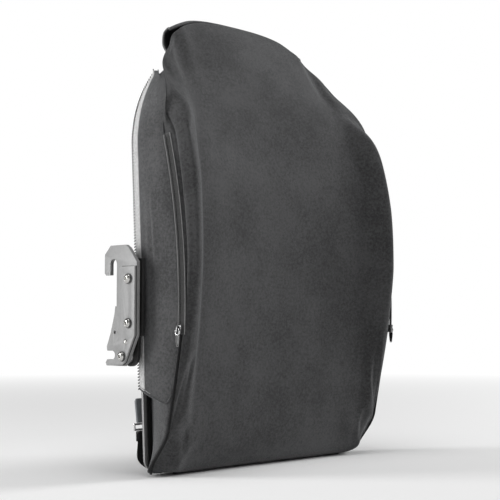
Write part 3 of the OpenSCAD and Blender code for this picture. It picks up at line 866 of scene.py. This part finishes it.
def strip_start(s):
    """Share of the flap's depth where the edge strip starts, so that it keeps its width."""
    depth = flap_point(1, 1, s, 0).y - flap_point(1, 0, s, 0).y
    return max(0.3, 1 - STRIP_WIDTH / depth)


def flap_grid(sign, part, columns, rows, d):
    """Grid over the panel or the edge strip of the flap."""
    grid = []
    for i in range(rows + 1):
        s = i / rows
        t0, t1 = (0, strip_start(s)) if part == "panel" else (strip_start(s) - 0.01, 1)
        grid.append([flap_point(sign, mix(t0, t1, j / columns), s, d) for j in range(columns + 1)])
    return grid


def flat_size(grid):
    """Width and length of the cut that a grid of points was laid out from, in metres."""
    def run(line):
        return sum((Vector(b) - Vector(a)).length for a, b in zip(line, line[1:])) * MM
    return max(run(row) for row in grid), max(run(column) for column in zip(*grid))


def cloth_sheet(grid):
    """Works out the flat width and length of a sheet from the grid of its outside, and does nothing with
    them.
    """
    width, length = flat_size(grid)


flaps = {}

for side, sign in SIDES:
    grid = flap_grid(sign, "panel", 22, 70, 2.3)
    panel_grid = grid
    flap = closed_sheet("side_panel_" + side, grid, 1.8 * sign, side_fabric)
    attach(flap, "back")
    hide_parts("side_flap_" + side)

    grid = flap_grid(sign, "strip", 5, 70, 2.7)
    strip = closed_sheet("edge_strip_" + side, grid, 1.6 * sign, binding_tape)
    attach(strip, "back")
    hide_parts("flap_binding_" + side)

    # Binding along the slanted foot of the flap, as two thin rolled lines
    for name, lift, radius, start, material in (
            ("foot_binding_", 0.8, 1.0, 0, side_fabric), ("foot_piping_", 3.6, 0.6, 0.55, hem_tape)):
        line = [flap_point(sign, mix(start, 1, j / 30), lift / 390, 2.4) for j in range(31)]
        foot = tube(name + side, line, radius, 8, material)
        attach(foot, "back")

    # Piping down the front edge of the flap, beside the zip
    line = [flap_point(sign, 0.0, 0.02 + 0.98 * i / 70, 1.6) for i in range(71)]
    front_piping = tube("flap_piping_" + side, line, 0.7, 8, side_fabric)
    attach(front_piping, "back")

    # Overlock stitches along the outer edge of the strip
    count = 112
    places = [flap_point(sign, 1.0, i / count, 2.6) for i in range(count + 1)]
    inner_ends = [flap_point(sign, 0.97, i / count, 3.0) for i in range(count + 1)]
    ways = [Vector(b) - Vector(a) + Vector((0, 0, 1.2)) for a, b in zip(places, inner_ends)]
    outs = [Vector((sign, 0.4, 0))] * len(places)
    stitches = stitch_row("overlock_" + side, places, ways, outs, (4.2, 0.75, 0.6), stitch_thread)
    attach(stitches, "back")
    edge_line = [flap_point(sign, 1.0, i / 90, 1.2) for i in range(91)]
    edge_cord = tube("overlock_edge_" + side, edge_line, 0.8, 8, stitch_thread)
    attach(edge_cord, "back")
    feet = [bpy.data.objects[name + side] for name in ("foot_binding_", "foot_piping_")]
    flaps[side] = (flap, panel_grid, [strip, front_piping, stitches, edge_cord] + feet)


# ---------------------------------------------------------------- zips

TAPE_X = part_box("zip_tape_right")[1].x / MM


def zip_line(z0, z1, d, steps):
    """Points along the zip, d in front of its own line, in Y and Z."""
    a0 = math.asin((z0 - ZIP_CZ) / ZIP_R)
    a1 = math.asin((z1 - ZIP_CZ) / ZIP_R)
    points = []
    for i in range(steps + 1):
        a = mix(a0, a1, i / steps)
        points.append((ZIP_CY - (ZIP_R + d) * math.cos(a), ZIP_CZ + (ZIP_R + d) * math.sin(a)))
    return points


def zip_strip(name, sign, d0, d1, x0, x1, material, thickness):
    """Flat woven strip between two distances from the zip's line, with x at each edge."""
    rows_a, rows_b = zip_line(ZIP_Z0, ZIP_Z1, d0, 80), zip_line(ZIP_Z0, ZIP_Z1, d1, 80)
    grid = [
        [Vector((sign * mix(x0, x1, k / 4), mix(a[0], b[0], k / 4), mix(a[1], b[1], k / 4)))
         for k in range(5)]
        for a, b in zip(rows_a, rows_b)
    ]
    return closed_sheet(name, grid, thickness * sign, material, 0)


for side, sign in SIDES:
    for part, d0, d1, x0, x1 in (("front", 0.8, 5.6, 0, -2.4), ("rear", -4.2, -0.8, -0.3, 0)):
        tape = zip_strip("zip_tape_%s_%s" % (part, side), sign, d0, d1,
                         TAPE_X + x0, TAPE_X + x1, zip_weave, 0.8)
        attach(tape, "back")
    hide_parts("zip_tape_" + side)
    for part, d, x in (("front", 5.4, -1.9), ("rear", -3.6, 0.3)):
        line = [Vector((sign * (TAPE_X + x), y, z)) for y, z in zip_line(ZIP_Z0, ZIP_Z1, d, 80)]
        fold = tube("zip_fold_%s_%s" % (part, side), line, 0.6, 8, hem_tape)
        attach(fold, "back")
    # Coil teeth, as one closed loop of filament to a tooth on each tape
    pitch = 1.25
    count = int((ZIP_Z1 - ZIP_Z0) / pitch)
    parts = []
    for i in range(count):
        z = ZIP_Z0 + 3 + (ZIP_Z1 - ZIP_Z0 - 6) * i / count
        y = zip_y(z)
        way = -1 if i % 2 else 1
        path = [Vector((sign * (TAPE_X + h), y + way * w, z + k)) for h, w, k in
                ((0.1, 2.1, -0.25), (0.75, 1.9, 0), (1.05, 0.6, 0.1), (0.8, -0.7, 0.1), (0.2, -0.9, 0.35))]
        parts.append(tube_mesh(path, 0.34, 5))
    teeth = joined("zip_coil_" + side, parts, coil_plastic)
    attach(teeth, "back")
    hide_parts("zip_teeth_" + side)
    flap, panel_grid, trim = flaps[side]
    cloth_sheet(panel_grid)


for side, sign in SIDES:
    # A bright wire ring in the slider's bridge, and a dark tapered pull with a bright rim
    low, high = (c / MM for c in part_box("zip_pull_" + side))
    x, y = (low.x + high.x) / 2, (low.y + high.y) / 2
    ring_z = high.z - 4.2
    loop = [Vector((x, y + 3.5 * math.cos(a), ring_z + 3.6 * math.sin(a))) for a in
            (2 * math.pi * k / 28 for k in range(28))]
    outline = [(-2.6, 0), (-3, -1.2), (-1.5, -12.2), (-0.6, -13),
               (0.6, -13), (1.5, -12.2), (3, -1.2), (2.6, 0)]
    rim_line = curve_through([Vector((x, y + a, ring_z - 3.4 + b)) for a, b in outline], 4)
    bright = joined("zip_pull_wire_" + side, [tube_mesh(loop, 0.7, 10, closed=True)], zip_bright)
    rim = joined("zip_pull_rim_" + side, [tube_mesh(rim_line, 0.4, 8, closed=True)], hem_tape)
    leaf = [[Vector((x, y + mix(-w, w, k / 6), ring_z - 3.4 + h)) for k in range(7)] for w, h in
            ((2.5, -0.2), (2.8, -1.4), (2.2, -5.5), (1.5, -11), (1.2, -12.4))]
    plate = closed_sheet("zip_pull_leaf_" + side, leaf, 0.7, coil_plastic)
    for piece in (bright, rim, plate):
        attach(piece, "zip_pull_" + side)
    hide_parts("zip_pull_" + side)


# ---------------------------------------------------------------- tail of the cover and its fastenings

TAIL_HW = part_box("cover_tail")[1].x / MM
TAIL_UNDER = 0.8
TAIL_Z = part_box("cover_tail")[1].z / MM


def tail_off(x):
    return 6 + 7 * (x / TAIL_HW) ** 2


def tail_column(u):
    """Line of the tail at u: under the cushion and up the back of the shell."""
    x = TAIL_HW * u
    under_x = TAIL_UNDER * x
    puff = 1.6 * math.sin(math.pi * (abs(u) * 3 % 1))
    controls = [
        (under_x, front_y(0.9 * u, 0) + 14, 1.2), (under_x, shell_y(x, 0, 0) - 10, 1.0),
        (mix(under_x, x, 0.5), shell_y(x, 0, tail_off(x) * 0.7), 3),
        (x, shell_y(x, 16, tail_off(x)) + puff, 16), (x, shell_y(x, 36, tail_off(x)) + puff * 0.6, 36),
        (x, shell_y(x, TAIL_Z, tail_off(x) - 2), TAIL_Z),
    ]
    return curve_through(controls, 5)


tail_points = [tail_column(-1 + 2 * i / 60) for i in range(61)]
tail = closed_sheet("cover_tail_panel", tail_points, 2.2, lining_fabric)
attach(tail, "back")
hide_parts("cover_tail")
tail_hem = tube("tail_hem", [column[-1] for column in tail_points], 1.6, 8, webbing)
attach(tail_hem, "back")

for side in ("left", "right"):
    strap = rounded_copy("tail_strap_" + side, webbing, 0.6, 3)
    ring = rounded_copy("tail_buckle_" + side, bright_wire, 1.0, 4)
    tab = rounded_copy("tail_tab_" + side, tab_plastic, 1.0, 3)


cloth_sheet(tail_points)
cloth_sheet(hood_points)
cloth_sheet(lining_grid)


# ---------------------------------------------------------------- foam inside the cover

def foam_piece(name, node, share_0, share_1, us, z0, z1, inset, material):
    """A foam layer between two shares of the cushion's depth, crowned and rounded at its edges."""
    rows = 26
    outer, inner = [], []
    for i in range(rows + 1):
        z = mix(z0, z1, i / rows)
        ends = []
        for share in (share_1, share_0):
            line = []
            for u in us:
                x = u * (half_w(z) - inset)
                front = front_y(x / half_w(z), z) + corner_wrap(abs(x) / half_w(z), z) + 7
                thin = min(1, abs(x) / half_w(z) + 0.1) ** 4 * smooth((z - HEAD_Z + 25) / 40)
                back = mix(shell_y(x, z, -SHELL_T - 4), front + 4, thin)
                line.append(Vector((x, mix(back, front, share), z)))
            ends.append(line)
        outer.append(ends[0])
        inner.append(ends[1])
    obj = solid_between(name, outer, inner, material, 1)
    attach(obj, "back")
    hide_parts(node)


def spread(a, b, n):
    return [a + (b - a) * i / n for i in range(n + 1)]


PAD_Z0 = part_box("base_foam")[0].z / MM
BOLSTER_Z1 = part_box("bolster_right")[1].z / MM
FOAM_TOP_GAP = 26
foam_piece("foam_base", "base_foam", 0, 0.46, spread(-1, 1, 30),
           PAD_Z0, CUSHION_H - FOAM_TOP_GAP, 15, base_foam)
foam_piece("foam_comfort", "comfort_layer", 0.5, 1, spread(-0.74, 0.74, 24),
           PAD_Z0, CUSHION_H - FOAM_TOP_GAP, 12, soft_foam)
for side, sign in SIDES:
    foam_piece("foam_bolster_" + side, "bolster_" + side, 0.5, 1, spread(sign * 0.75, sign * 1.0, 10),
               PAD_Z0, BOLSTER_Z1, 12, base_foam)


# ---------------------------------------------------------------- metal parts

METAL = {
    "shell": (shell_paint, "shell_paint", 0.5),
    "hook_plate": (plate_paint, "plate_paint", 0.45),
    "outer_plate": (plate_paint, "plate_paint", 0.4),
    "bracket": (bracket_paint, "bracket_paint", 0.4),
    "plate_spacers": (washer_steel, "washer_steel", 0.2),
    "plate_bolts": (bolt_steel, "bolt_steel", 0.3),
    "plate_washers": (washer_steel, "washer_steel", 0.25),
    "plate_nuts": (bolt_steel, "bolt_steel", 0.3),
    "stop_pin": (bolt_steel, "bolt_steel", 0.2),
    "catch": (catch_steel, "catch_steel", 0.3),
    "shell_bolts": (black_bolt, "black_bolt", 0.3),
    "shell_washers": (washer_steel, "washer_steel", 0.25),
    "shell_nuts": (black_bolt, "black_bolt", 0.2),
    "zip_slider": (zip_coating, "zip_metal", 0.3),
    "shell_loop_strips": (loop_tape, "loop_tape", 0.3),
}

for stem, (material, slot_name, width) in METAL.items():
    names = [stem] if stem in frame["nodes"] else [stem + "_left", stem + "_right"]
    for node in names:
        piece = rounded_copy(node, material, width)


for side, sign in SIDES:
    # Painted shadow: a thin dark copy of the outer plate, a little larger, laid on the hook plate so that a
    # dark line shows all round the outer plate where it lies on the hook plate
    mesh = frame["nodes"]["outer_plate_" + side].data.copy()
    bm = bmesh.new()
    bm.from_mesh(mesh)
    bmesh.ops.remove_doubles(bm, verts=bm.verts, dist=2e-6)
    bm.normal_update()
    low_x = min(abs(v.co.x) for v in bm.verts)
    for vertex in bm.verts:
        across = Vector((0, vertex.normal.y, vertex.normal.z))
        if across.length > 0.1:
            vertex.co += across.normalized() * 0.9 * MM
        vertex.co.x = sign * (low_x + (0.5 * MM if abs(vertex.co.x) > low_x + MM else 0.05 * MM))
    bm.to_mesh(mesh)
    bm.free()
    mesh.materials.clear()
    mesh.materials.append(bracket_paint)
    shadow_line = bpy.data.objects.new("plate_groove_" + side, mesh)
    bpy.context.scene.collection.objects.link(shadow_line)
    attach(shadow_line, "back")


# ---------------------------------------------------------------- stage, light and camera

def stage_material():
    """Pale floor that fades into the white backdrop away from the object."""
    material, tree, shader = node_tree("pale_floor")
    coords = object_coords(tree)
    length = tree.nodes.new("ShaderNodeVectorMath")
    length.operation = "LENGTH"
    tree.links.new(coords, length.inputs[0])
    far = tree.nodes.new("ShaderNodeMapRange")
    far.inputs["From Min"].default_value = 0.5
    far.inputs["From Max"].default_value = 2.6
    tree.links.new(length.outputs["Value"], far.inputs["Value"])
    glow = add_node(tree, "ShaderNodeEmission", Color=(1, 1, 1, 1), Strength=1.0)
    blend = tree.nodes.new("ShaderNodeMixShader")
    shader.inputs["Base Color"].default_value = (0.9, 0.9, 0.9, 1)
    shader.inputs["Roughness"].default_value = 0.9
    out = tree.nodes["Material Output"]
    tree.links.new(far.outputs["Result"], blend.inputs[0])
    tree.links.new(shader.outputs["BSDF"], blend.inputs[1])
    tree.links.new(glow.outputs["Emission"], blend.inputs[2])
    tree.links.new(blend.outputs["Shader"], out.inputs["Surface"])
    return material


floor = new_object(
    "floor", [(-9000, -9000, -1), (9000, -9000, -1), (9000, 9000, -1), (-9000, 9000, -1)],
    [(0, 1, 2, 3)], stage_material())


def area_light(name, place, target, size, power, colour=(1, 1, 1)):
    data = bpy.data.lights.new(name, "AREA")
    data.shape = "RECTANGLE"
    data.size, data.size_y = size
    data.energy = power
    data.color = colour
    light = bpy.data.objects.new(name, data)
    bpy.context.scene.collection.objects.link(light)
    light.location = place
    light.rotation_mode = "QUATERNION"
    light.rotation_quaternion = (Vector(target) - Vector(place)).to_track_quat("-Z", "Y")
    return light


area_light("key_softbox", (2.6, -1.1, 1.2), (0, 0, 0.32), (1.0, 1.2), 62)
area_light("left_softbox", (-2.2, 1.5, 0.8), (-0.1, 0, 0.3), (0.9, 1.8), 60)
area_light("top_softbox", (-0.4, -0.3, 2.3), (0, 0, 0.4), (1.2, 1.2), 22)
area_light("front_softbox", (-1.9, -1.5, 0.6), (0, 0, 0.3), (1.4, 1.4), 5)

world = bpy.data.worlds.new("white_studio")
world.use_nodes = True
backdrop = world.node_tree.nodes["Background"]
backdrop.inputs["Color"].default_value = (1, 1, 1, 1)
# The backdrop is white to look at, and lights the object more softly than that
rays = world.node_tree.nodes.new("ShaderNodeLightPath")
level = world.node_tree.nodes.new("ShaderNodeMapRange")
level.inputs["To Min"].default_value = 0.12
level.inputs["To Max"].default_value = 1.0
world.node_tree.links.new(rays.outputs["Is Camera Ray"], level.inputs["Value"])
world.node_tree.links.new(level.outputs["Result"], backdrop.inputs["Strength"])
bpy.context.scene.world = world
bpy.context.scene.view_settings.view_transform = "Standard"

CAMERA_AT = (-1.0789, -1.0601, 0.182)
CAMERA_TURN, CAMERA_TILT = math.radians(45), math.radians(3.5236)
camera_data = bpy.data.cameras.new("camera")
camera_data.lens = 83.45
camera_data.sensor_width = 36
camera = bpy.data.objects.new("camera", camera_data)
bpy.context.scene.collection.objects.link(camera)
camera.location = CAMERA_AT
look = Vector((
    math.sin(CAMERA_TURN) * math.cos(CAMERA_TILT),
    math.cos(CAMERA_TURN) * math.cos(CAMERA_TILT),
    math.sin(CAMERA_TILT),
))
camera.rotation_mode = "QUATERNION"
camera.rotation_quaternion = look.to_track_quat("-Z", "Y")
bpy.context.scene.camera = camera
